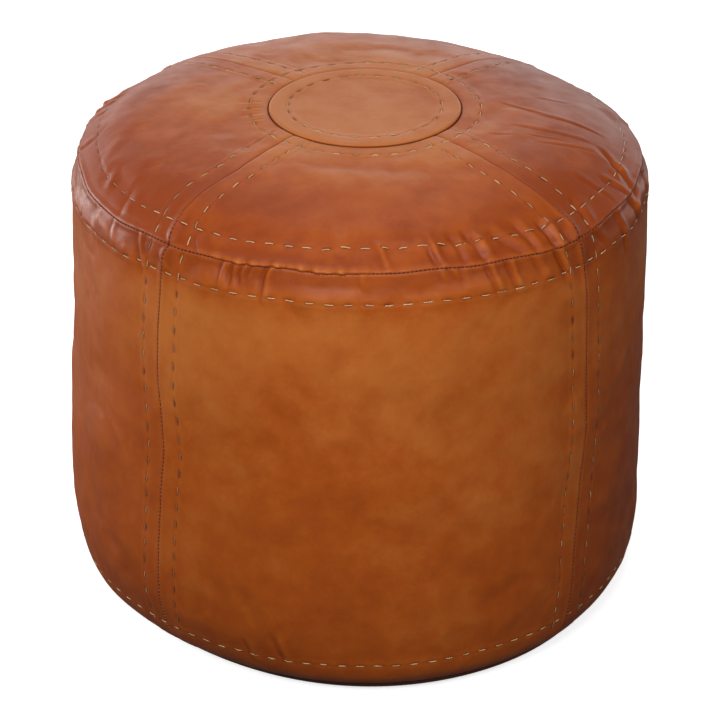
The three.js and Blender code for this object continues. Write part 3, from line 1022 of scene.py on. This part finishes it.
# %% Make the thread and the cloths
def thread(name, stain_and_shade_colour, shade_side, lit_side, roughness):
    """Two plies laid round each other, with painted shade in the line between them and painted light along
    each ply. A darker colour, mixed in by an attribute, gives stains and painted shade.
    """
    material, tree, shader = new_material(name, IOR=1.5, Roughness=roughness, Sheen_Weight=0.08)
    along = add_node(tree, "ShaderNodeAttribute", attribute_name="thread_along").outputs["Fac"]
    around = add_node(tree, "ShaderNodeAttribute", attribute_name="thread_round").outputs["Fac"]
    wound = {0: along, 1: 5.0, 2: around}  # five turns of the plies in a stitch
    turns = add_node(tree, "ShaderNodeMath", wound, operation="MULTIPLY_ADD")
    ply = add_node(tree, "ShaderNodeMath", {0: turns, 1: 2.0 * math.pi}, operation="MULTIPLY")
    wave = add_node(tree, "ShaderNodeMath", {0: ply}, operation="SINE")
    lit = add_node(tree, "ShaderNodeMapRange", {0: wave, 1: -1.0, 2: 0.2, 3: 0.0, 4: 1.0})
    waxed = shades(tree, lit, (0.0, shade_side), (1.0, lit_side))
    stain_and_shade = add_node(tree, "ShaderNodeAttribute", attribute_name="stain_and_shade").outputs["Fac"]
    waxed = add_node(
        tree, "ShaderNodeMix", {"Factor": stain_and_shade, 6: waxed, 7: linear(stain_and_shade_colour)}, data_type="RGBA",
    ).outputs[2]
    feed(shader, {"Base Color": waxed})
    twist = add_node(tree, "ShaderNodeBump", {"Strength": 0.5, "Distance": 0.0003, "Height": lit})
    feed(shader, {"Normal": twist})
    return material


def woven(name, low, high, pitch, roughness):
    """A plain weave: two sets of threads a pitch apart, in metres."""
    material, tree, shader = new_material(
        name, IOR=1.5, Roughness=roughness, Sheen_Weight=0.25, Sheen_Roughness=0.5,
    )
    place = add_node(tree, "ShaderNodeTexCoord").outputs["Object"]
    axes = add_node(tree, "ShaderNodeSeparateXYZ", {0: place})
    waves = []
    for axis in ("X", "Y"):
        across = {0: axes.outputs[axis], 1: math.pi / pitch}
        turn = add_node(tree, "ShaderNodeMath", across, operation="MULTIPLY")
        waves.append(add_node(tree, "ShaderNodeMath", {0: turn}, operation="SINE"))
    crossing = add_node(tree, "ShaderNodeMath", {0: waves[0], 1: waves[1]}, operation="MULTIPLY")
    raised = add_node(tree, "ShaderNodeMapRange", {0: crossing, 1: -1.0, 2: 1.0, 3: 0.0, 4: 1.0})
    feed(shader, {"Base Color": shades(tree, raised, (0.0, low), (1.0, high))})
    relief = add_node(tree, "ShaderNodeBump", {"Strength": 0.5, "Distance": 0.0002, "Height": raised})
    feed(shader, {"Normal": relief})
    return material


def speckled(name, scale, detail, stops, relief=(0, 0), **values):
    """A material with one noise in its colour, and in its relief if it has any."""
    material, tree, shader = new_material(name, **values)
    place = add_node(tree, "ShaderNodeTexCoord").outputs["Object"]
    noise = {"Vector": place, "Scale": scale, "Detail": detail}
    specks = add_node(tree, "ShaderNodeTexNoise", noise)
    feed(shader, {"Base Color": shades(tree, specks, *stops)})
    if relief[0]:
        height = {"Strength": relief[0], "Distance": relief[1], "Height": specks}
        feed(shader, {"Normal": add_node(tree, "ShaderNodeBump", height)})
    return material, tree, shader, specks


linen_thread = thread("waxed linen thread, two plies", "6a3414", "9c7644", "e2c898", 0.6)
machine_thread = thread("tan polyester thread, machine sewn", "6a2a12", "6a2a12", "a4562c", 0.7)
bag_cotton = woven("unbleached cotton, plain woven", "cfc3a8", "e9e0cb", 0.0015, 0.9)
tape_weave = woven("polyester zip tape, woven and dyed brown", "3c2716", "624329", 0.0006, 0.8)

fibre, *_ = speckled(
    "cotton wadding, carded", 90.0, 8.0, ((0.3, "d6cfc0"), (0.7, "f4f0e6")), relief=(0.8, 0.002),
    Roughness=1.0, IOR=1.5, Sheen_Weight=0.5,
)
for part in (bag_top, bag_wall, bag_base):
    dress(part, bag_cotton)
dress(wadding, fibre)

# %% [markdown]
# ## A stitch in Geometry Nodes
# Every stitch is the same short arc of thread that comes out of one hole and goes down the next. A point
# on the leather knows the way the stitch lies and the way the leather faces. Geometry Nodes put one arc
# on each point. The arc is a curve swept with a small circle, and its ends dip below the leather.

# %% Build the stitch tree
def new_group(name, sizes):
    """A Geometry Nodes tree with a geometry in and out, and named inputs of the kinds given."""
    tree = bpy.data.node_groups.new(name, "GeometryNodeTree")
    tree.interface.new_socket("Geometry", in_out="INPUT", socket_type="NodeSocketGeometry")
    tree.interface.new_socket("Geometry", in_out="OUTPUT", socket_type="NodeSocketGeometry")
    for label, kind in sizes.items():
        tree.interface.new_socket(label, in_out="INPUT", socket_type=f"NodeSocket{kind}")
    return tree, tree.nodes.new("NodeGroupInput").outputs, tree.nodes.new("NodeGroupOutput")


def close_group(tree, given, output, geometry):
    """Ends a tree: instances made real, and the material set."""
    real = add_node(tree, "GeometryNodeRealizeInstances", {"Geometry": geometry})
    covered = add_node(tree, "GeometryNodeSetMaterial", {"Geometry": real, "Material": given["Material"]})
    feed(output, {0: covered})


def thread_tree():
    """One arc of thread on every point of a mesh, turned by the point's own directions."""
    sizes = {"Length": "Float", "Thickness": "Float", "Rise": "Float", "Sink": "Float", "Segments": "Int"}
    tree, given, output = new_group("stitch of thread", {**sizes, "Seed": "Int", "Material": "Material"})
    half, back, radius = (
        add_node(tree, "ShaderNodeMath", {0: given[label], 1: share}, operation="MULTIPLY")
        for label, share in (("Length", 0.5), ("Length", -0.5), ("Thickness", 0.5))
    )
    start = add_node(tree, "ShaderNodeCombineXYZ", {"X": back, "Z": given["Sink"]})
    middle = add_node(tree, "ShaderNodeCombineXYZ", {"Z": given["Rise"]})
    end = add_node(tree, "ShaderNodeCombineXYZ", {"X": half, "Z": given["Sink"]})
    arc = add_node(
        tree, "GeometryNodeCurveQuadraticBezier",
        {"Resolution": given["Segments"], "Start": start, "Middle": middle, "End": end},
    )
    ring = add_node(
        tree, "GeometryNodeCurvePrimitiveCircle", {"Resolution": 6, "Radius": radius}, mode="RADIUS",
    )
    measure = add_node(tree, "GeometryNodeSplineParameter").outputs["Factor"]
    arc = add_node(
        tree, "GeometryNodeStoreNamedAttribute", {"Geometry": arc, "Name": "thread_along", "Value": measure},
    )
    ring = add_node(
        tree, "GeometryNodeStoreNamedAttribute",
        {"Geometry": ring, "Name": "thread_round", "Value": measure},
    )
    strand = add_node(
        tree, "GeometryNodeCurveToMesh", {"Curve": arc, "Profile Curve": ring, "Fill Caps": True},
    )
    kept = "GeometryNodeInputNamedAttribute"
    along, out = (add_node(tree, kept, {"Name": name}, data_type="FLOAT_VECTOR") for name in ("along", "out"))
    facing = add_node(
        tree, "FunctionNodeAxesToRotation", {0: out, 1: along}, primary_axis="Z", secondary_axis="X",
    )
    uneven = {"Min": (0.86, 0.94, 0.85), "Max": (1.1, 1.06, 1.12), "Seed": given["Seed"]}
    size = add_node(tree, "FunctionNodeRandomValue", uneven, data_type="FLOAT_VECTOR")
    placed = add_node(
        tree, "GeometryNodeInstanceOnPoints",
        {"Points": given["Geometry"], "Instance": strand, "Rotation": facing, "Scale": size},
    )
    close_group(tree, given, output, placed)
    return tree


def grown(name, points, tree, values, vectors=None):
    """Runs a tree on points in mm, and returns its result as a plain mesh object."""
    mesh = bpy.data.meshes.new(name)
    mesh.from_pydata((np.asarray(points) * MM).tolist(), [], [])
    for label, values_there in (vectors or {}).items():
        kind, field = ("FLOAT_VECTOR", "vector") if values_there.ndim == 2 else ("FLOAT", "value")
        kept = mesh.attributes.new(label, kind, "POINT")
        kept.data.foreach_set(field, values_there.astype(np.float32).ravel())
    seed = bpy.data.objects.new(name + " points", mesh)
    bpy.context.scene.collection.objects.link(seed)
    modifier = seed.modifiers.new("nodes", "NODES")
    modifier.node_group = tree
    for item in tree.interface.items_tree:
        if item.in_out == "INPUT" and item.name in values:
            modifier[item.identifier] = values[item.name]
    shown = seed.evaluated_get(bpy.context.evaluated_depsgraph_get())
    made = bpy.data.objects.new(name, bpy.data.meshes.new_from_object(shown))
    bpy.context.scene.collection.objects.link(made)
    bpy.data.objects.remove(seed)
    made.data.shade_smooth()
    print(name, len(points), "times,", len(made.data.polygons), "faces")
    return made


stitch = thread_tree()

# %% [markdown]
# ## The rows of running stitches
# One row runs round the crown and one round the side, each about 20 mm from the rim. Two ring the patch,
# one is low on the side, and every straight seam has a row on both sides. The holes were punched at an
# even pitch.

# %% Sew the running stitches
STITCH_LENGTH = 7.4
THREAD = 0.78  # its thickness
UNEVEN = 0.35  # how far a stitch may lie from its even place, as a standard deviation


def row_round(run):
    """The middles of the stitches of a row round the pouf."""
    count = stitch_count(run)
    return (np.arange(count) + 0.5) * 2 * math.pi / count, np.full(count, run)


def rows_beside(seam, start, end):
    """The middles of the stitches of the two rows beside a seam."""
    numbers = np.arange(math.ceil((start - RIM) / STITCH_PITCH), math.floor((end - RIM) / STITCH_PITCH))
    run = RIM + (numbers + 0.5) * STITCH_PITCH
    offset = ROW_BESIDE_SEAM / np.interp(run, RUN, RADIUS)
    angles = [math.radians(seam) + side * offset for side in (-1, 1)]
    return np.concatenate(angles), np.tile(run, 2)


def stitch_points(angle, run, across, length):
    """Where stitches lie: their middles, the way they run and the way the leather faces."""
    half = length / 2
    turn = np.where(across, half / np.interp(run, RUN, RADIUS), 0)
    down = np.where(across, 0, half)
    start, end = on_cover(angle - turn, run - down), on_cover(angle + turn, run + down)
    middle = on_cover(angle, run)
    along = (end - start) / np.linalg.norm(end - start, axis=-1, keepdims=True)
    side_turn = np.where(across, 0, 0.8 / np.interp(run, RUN, RADIUS))
    side_down = np.where(across, 0.8, 0)
    side = on_cover(angle + side_turn, run + side_down) - on_cover(angle - side_turn, run - side_down)
    out = np.where(across[:, None], np.cross(side, along), np.cross(along, side))
    _, normal, _ = smooth_place(angle, run)
    out *= np.sign((out * normal).sum(-1, keepdims=True))
    out = out / np.linalg.norm(out, axis=-1, keepdims=True) + 0.5 * normal
    return (middle * 2 + start + end) / 4, along, out / np.linalg.norm(out, axis=-1, keepdims=True)


rng = np.random.default_rng(8)
rounds = [row_round(run) for run in (*PATCH_ROWS, CROWN_RIM_ROW, SIDE_RIM_ROW, BASE_ROW)]
straight = [rows_beside(seam, *ends) for ends in ((PATCH_R + 4, RIM), (RIM, HEM)) for seam in WANDER]
angle, run = (np.concatenate(values) for values in zip(*rounds, *straight))
across = np.arange(len(angle)) < sum(len(row[0]) for row in rounds)
angle = angle + rng.normal(0, UNEVEN, len(angle)) / np.interp(run, RUN, RADIUS)
run = run + rng.normal(0, UNEVEN, len(run))
places, along, out = stitch_points(angle, run, across, STITCH_LENGTH)
along = along + rng.normal(0, 0.035, along.shape)
left_side_shade = step(-50, -64, np.degrees(turned(angle, 0.0)))  # painted shade: the threads of the left side are darker
# stains at random, and painted shade: darker on the left side and down the side's straight rows
stain_and_shade = np.where(across, 0.1 + 0.5 * left_side_shade, np.where(run > RIM + 30, 0.8, 0.3))
stain_and_shade = np.clip(stain_and_shade + rng.normal(0, 0.18, len(run)), 0, 1)


def sew(name, places, turns, sizes, segments, seed, material):
    """Puts a stitch on each place. Its sizes are its length, thickness, rise and sink, in mm."""
    values = dict(zip(("Length", "Thickness", "Rise", "Sink"), (size * MM for size in sizes)))
    values |= {"Segments": segments, "Seed": seed, "Material": material}
    dress(grown(name, places, stitch, values, turns), material)


sizes = (STITCH_LENGTH, THREAD, 1.0, -0.4)
turns = {"along": along, "out": out, "stain_and_shade": stain_and_shade}
sew("running_stitches", places, turns, sizes, 8, 1, linen_thread)

# %% [markdown]
# ## The machine stitches
# The seams were machine sewn from the inside. Where the stuffing pulls them open, each stitch shows as a
# short rung across the dark groove. The two halves of the base are sewn together in the same way at each
# end of the zip.

# %% Sew the seams
MACHINE_PITCH = 3.5
HALF_RUNG = 0.5  # from the middle of a seam to each end of what is measured across it


def seam_round(run):
    """The machine stitches of a seam round the pouf."""
    count = round(2 * math.pi * np.interp(run, RUN, RADIUS) / MACHINE_PITCH)
    return np.arange(count) * 2 * math.pi / count, np.full(count, run)


def seam_down(seam, start, end):
    """The machine stitches of a straight seam, between two runs."""
    run = np.arange(start, end, MACHINE_PITCH)
    return np.full(len(run), math.radians(seam)), run


rounds = [seam_round(RIM), seam_round(HEM)]
straight = [seam_down(seam, RIM - 28, HEM - 2) for seam in WANDER]
angle, run = (np.concatenate(values) for values in zip(*rounds, *straight))
across = np.arange(len(angle)) < sum(len(row[0]) for row in rounds)
turn = np.where(across, 0, HALF_RUNG / np.interp(run, RUN, RADIUS))
down = np.where(across, HALF_RUNG, 0)
left, right = on_cover(angle - turn, run - down), on_cover(angle + turn, run + down)
_, out, _ = smooth_place(angle + wander(angle, run), run)
past_zip = np.arange(SLOT_END + 14, BASE_SEAM[0] - 3, MACHINE_PITCH)
past_zip = np.concatenate([past_zip, -past_zip])
beside = np.full(len(past_zip), HALF_RUNG)
left = np.concatenate([left, base_places(past_zip, -beside, 0.0)])
right = np.concatenate([right, base_places(past_zip, beside, 0.0)])
out = np.concatenate([out, np.tile([0.0, 0.0, -1.0], (len(past_zip), 1))])
rungs = right - left
rungs /= np.linalg.norm(rungs, axis=-1, keepdims=True)
turns = {"along": rungs, "out": out, "stain_and_shade": np.zeros(len(rungs))}
sizes = (2.4, 0.85, 0.7, -0.6)
sew("seam_stitches", (left + right) / 2, turns, sizes, 3, 2, machine_thread)

# %% [markdown]
# ## The zip
# The zip in the base is a nylon coil zip on woven tapes, with a brass slider, tab and stops. The coil is
# one loop of monofilament after another, so Geometry Nodes repeat a single flat ring along it, and the
# two sides' loops take turns.

# %% Lay the tapes
ZIP_HEIGHT = 11.8
TAPE_INNER, TAPE_OUTER = 3.5, 17.0
TAPE_HALF_LENGTH = 158.0
TAPE_THICKNESS = 0.6


def zip_tape(name, sign):
    """A tape that waves a little, with a raised band where the coil is sewn on."""
    x, y = np.meshgrid(
        np.linspace(-TAPE_HALF_LENGTH, TAPE_HALF_LENGTH, 240), sign * np.linspace(TAPE_INNER, TAPE_OUTER, 14),
    )
    far = (np.abs(y) - TAPE_INNER) / (TAPE_OUTER - TAPE_INNER)
    rise = ZIP_HEIGHT + 0.5 * far * np.sin(x / 17 + sign) + 0.35 * step(0.1, 0.25, far) * step(0.4, 0.25, far)
    low = np.stack([x, y, rise - TAPE_THICKNESS / 2], -1)
    high = np.stack([x, y, rise + TAPE_THICKNESS / 2], -1)
    return sheet_of(name, low, high)


for half, sign in HALVES.items():
    tape = zip_tape(f"zip_tape_woven_{half}", sign)
    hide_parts(f"zip_tape_{half}")
    dress(tape, tape_weave)

# %% [markdown]
# ## The coil's loops and the metal parts
# Nylon monofilament is smooth and slightly clear, so it has a soft shine. The metal parts are cast zinc
# plated with brass and dulled with age. Each keeps the CAD's shape, and a Bevel modifier rounds its edges
# as casting does.

# %% Make the coils and the metal parts
nylon, *_ = speckled(
    "brown nylon monofilament, drawn and coiled", 300.0, 2.0, ((0.3, "3d2817"), (0.7, "5d4128")),
    Roughness=0.35, IOR=1.53, Subsurface_Weight=0.1, Subsurface_Radius=(0.0006, 0.0004, 0.0003),
)
brass, brass_tree, brass_shader, tarnish = speckled(
    "brass plate on cast zinc, aged", 420.0, 5.0, ((0.3, "8a6a3a"), (0.6, "b8965a"), (0.8, "cdb078")),
    relief=(0.2, 0.0001), Metallic=1.0, Roughness=0.32,
)
dulled = add_node(brass_tree, "ShaderNodeMapRange", {0: tarnish, 1: 0.3, 2: 0.7, 3: 0.5, 4: 0.25})
feed(brass_shader, {"Roughness": dulled})


def loop_tree():
    """One flat ring of wire on every point of a mesh."""
    sizes = {"Width": "Float", "Height": "Float", "Wire": "Float", "Lean": "Float", "Material": "Material"}
    tree, given, output = new_group("zip coil loop", sizes)
    ring = add_node(
        tree, "GeometryNodeCurvePrimitiveCircle", {"Resolution": 12, "Radius": 1.0}, mode="RADIUS",
    )
    size = {"X": given["Height"], "Y": given["Width"], "Z": 1.0}
    flat = add_node(tree, "ShaderNodeCombineXYZ", size)
    upright = add_node(tree, "ShaderNodeCombineXYZ", {"Y": math.pi / 2, "Z": given["Lean"]})
    ring = add_node(tree, "GeometryNodeTransform", {"Geometry": ring, "Scale": flat})
    ring = add_node(tree, "GeometryNodeTransform", {"Geometry": ring, "Rotation": upright})
    wire = {"Resolution": 5, "Radius": given["Wire"]}
    wire = add_node(tree, "GeometryNodeCurvePrimitiveCircle", wire, mode="RADIUS")
    loop = add_node(tree, "GeometryNodeCurveToMesh", {"Curve": ring, "Profile Curve": wire})
    placed = add_node(tree, "GeometryNodeInstanceOnPoints", {"Points": given["Geometry"], "Instance": loop})
    close_group(tree, given, output, placed)
    return tree


COIL_START, COIL_END = -149.0, 143.5
COIL_PITCH = 1.5
COIL_OUTER = 3.2
COIL_REACH = 0.45  # how far each loop reaches past the middle, between the other side's loops
WIRE = 0.3
coil_loop = loop_tree()
for half, sign in HALVES.items():
    x = np.arange(COIL_START, COIL_END, COIL_PITCH) + (0.0 if sign > 0 else COIL_PITCH / 2)
    middle = np.full(len(x), sign * (COIL_OUTER - COIL_REACH) / 2)
    sizes = {"Width": (COIL_OUTER + COIL_REACH - 2 * WIRE) / 2 * MM, "Height": 0.95 * MM, "Wire": WIRE * MM}
    coil = grown(
        f"zip_coil_loops_{half}", np.stack([x, middle, np.full(len(x), ZIP_HEIGHT)], -1), coil_loop,
        {**sizes, "Lean": 0.06 * sign, "Material": nylon},
    )
    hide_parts(f"zip_coil_{half}")
    dress(coil, nylon)
    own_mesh(coil)


CAST_EDGE = 0.3  # radius of the metal's edges


def cast_part(part, body="pouf"):
    """A copy of a CAD node with its doubles merged and its edges rounded."""
    name, node = f"brass_{part}", f"zip_{part}"
    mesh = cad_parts[node].data.copy()
    shape = bmesh.new()
    shape.from_mesh(mesh)
    bmesh.ops.remove_doubles(shape, verts=shape.verts, dist=1e-6)
    bmesh.ops.dissolve_limit(shape, angle_limit=0.02, verts=shape.verts, edges=shape.edges)
    shape.to_mesh(mesh)
    shape.free()
    made = bpy.data.objects.new(name, mesh)
    bpy.context.scene.collection.objects.link(made)
    rounded = made.modifiers.new("cast edges", "BEVEL")
    rounded.width = CAST_EDGE * MM
    rounded.segments = 3
    rounded.limit_method = "ANGLE"
    rounded.harden_normals = True
    mesh.shade_smooth()
    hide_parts(node)
    dress(made, brass, body)
    print(name, len(mesh.polygons), "faces before its edges are rounded")


cast_part("slider", "slider")
cast_part("pull_tab", "pull_tab")
for stop in ("top_stop_front", "top_stop_back", "bottom_stop"):
    cast_part(stop)

# %% [markdown]
# ## What each soft piece was cut from
# Each panel was flat before it was sewn. Its cut size and area tell whoever reuses the part how much
# leather it takes, and how much a flat piece was drawn out to go round the pouf.

def cut_size(piece, width, length):
    """Prints a piece's cut width and length in mm, with the area that its surface has now, at most the cut
    area.
    """
    shape = bmesh.new()
    shape.from_mesh(piece.data)
    area = sum(face.calc_area() for face in shape.faces) / 2
    shape.free()
    area = min(area, width * length * MM * MM)
    print(f"{piece.name}: {width:.0f} by {length:.0f} mm, {area * 1e4:.0f} square cm")


quarter_round = 2 * CROWN_SEAM[0] * math.sin(QUARTER / 2)
WIDEST = 243  # the cover's radius, and the bag's is 240
for side in SIDES:
    cut_size(bpy.data.objects[f"crown_leather_{side}"], quarter_round + 32, RIM - PATCH_R + 62)
    cut_size(bpy.data.objects[f"side_leather_{side}"], WIDEST * QUARTER + 14, HEM - RIM + 14)
for half in HALVES:
    cut_size(bpy.data.objects[f"base_leather_{half}"], 2 * BASE_SEAM[0] + 20, BASE_SEAM[0] + 20)
cut_size(patch, 2 * PATCH_R + 4, 2 * PATCH_R + 4)
cut_size(bag_top, 2 * RIM, 2 * RIM)
cut_size(bag_wall, 2 * math.pi * 240, HEM - RIM)
cut_size(bag_base, 2 * BASE_SEAM[0] + 36, 2 * BASE_SEAM[0] + 36)

# %% [markdown]
# ## Floor, light and camera
# The pouf stands on a pale floor in soft studio light: a bright box of light in front and above, weaker ones
# at both sides and overhead, two low ones behind that draw a bright edge down each side, and a wide wall of
# light at the back that puts a long sheen on the crown.

# %% Set the stage
floor_material, floor_tree, floor_shader = new_material(
    "matt white paint on a studio floor, lit from below", Roughness=0.9, IOR=1.45,
    Base_Color=linear("ededed"), Emission_Color=(1, 1, 1, 1), Emission_Strength=0.7,
)
# Seen from below the floor is clear, so that the base and its zip can be looked at.
underneath = add_node(floor_tree, "ShaderNodeNewGeometry").outputs["Backfacing"]
clear = add_node(floor_tree, "ShaderNodeBsdfTransparent")
painted = add_node(floor_tree, "ShaderNodeMixShader", {0: underneath, 1: floor_shader, 2: clear})
feed(floor_tree.nodes["Material Output"], {"Surface": painted})
bpy.ops.mesh.primitive_plane_add(size=24, location=(0, 0, -0.0003))
floor = bpy.context.object
floor.name = "studio_floor"
floor.data.materials.append(floor_material)
floor.visible_diffuse = False
floor.visible_glossy = False

world = bpy.data.worlds.new("white studio")
world.use_nodes = True
sky = world.node_tree.nodes["Background"]
sky.inputs["Color"].default_value = (1, 1, 1, 1)
sky.inputs["Strength"].default_value = 0.09
bpy.context.scene.world = world
bpy.context.scene.view_settings.view_transform = "Standard"


AIM = Vector((0, 0, 0.3))  # where every light faces


def softbox(name, place, width, height, brightness):
    """A rectangle of light that faces the pouf. Its brightness is that of its surface, whatever its size."""
    light = bpy.data.lights.new(name, "AREA")
    light.shape = "RECTANGLE"
    light.size, light.size_y = width, height
    light.energy = math.pi * width * height * brightness
    lamp = bpy.data.objects.new(name, light)
    lamp.location = place
    lamp.rotation_euler = (AIM - Vector(place)).to_track_quat("-Z", "Y").to_euler()
    lamp.visible_camera = False
    bpy.context.scene.collection.objects.link(lamp)


softbox("key", (-0.32, -1.2, 1.15), 0.8, 0.6, 11.0)
softbox("left fill", (-1.2, -1.2, 1.2), 0.9, 0.9, 0.9)
softbox("right fill", (1.0, -1.0, 1.0), 0.9, 0.9, 2.1)
softbox("top light", (0.0, 0.5, 1.8), 1.2, 1.0, 2.2)
softbox("left rim light", (-1.9, 1.0, 0.4), 1.2, 0.7, 13.0)
softbox("right rim light", (1.9, 1.5, 0.4), 1.2, 0.7, 3.0)
softbox("back wall", (0.0, 2.6, 0.75), 4.0, 1.2, 1.9)

CAMERA_DISTANCE = 2.181
CAMERA_ELEVATION = math.radians(29.04)
CAMERA_AZIMUTH = math.radians(-3.0)
TARGET = Vector((0, 0, 0.1873))
back = Vector((
    math.sin(CAMERA_AZIMUTH) * math.cos(CAMERA_ELEVATION),
    -math.cos(CAMERA_AZIMUTH) * math.cos(CAMERA_ELEVATION),
    math.sin(CAMERA_ELEVATION),
))
lens = bpy.data.cameras.new("camera")
lens.lens = 128.45
lens.sensor_width = 36.0
camera = bpy.data.objects.new("camera", lens)
camera.location = TARGET + back * CAMERA_DISTANCE
camera.rotation_euler = (-back).to_track_quat("-Z", "Y").to_euler()
bpy.context.scene.collection.objects.link(camera)
bpy.context.scene.camera = camera
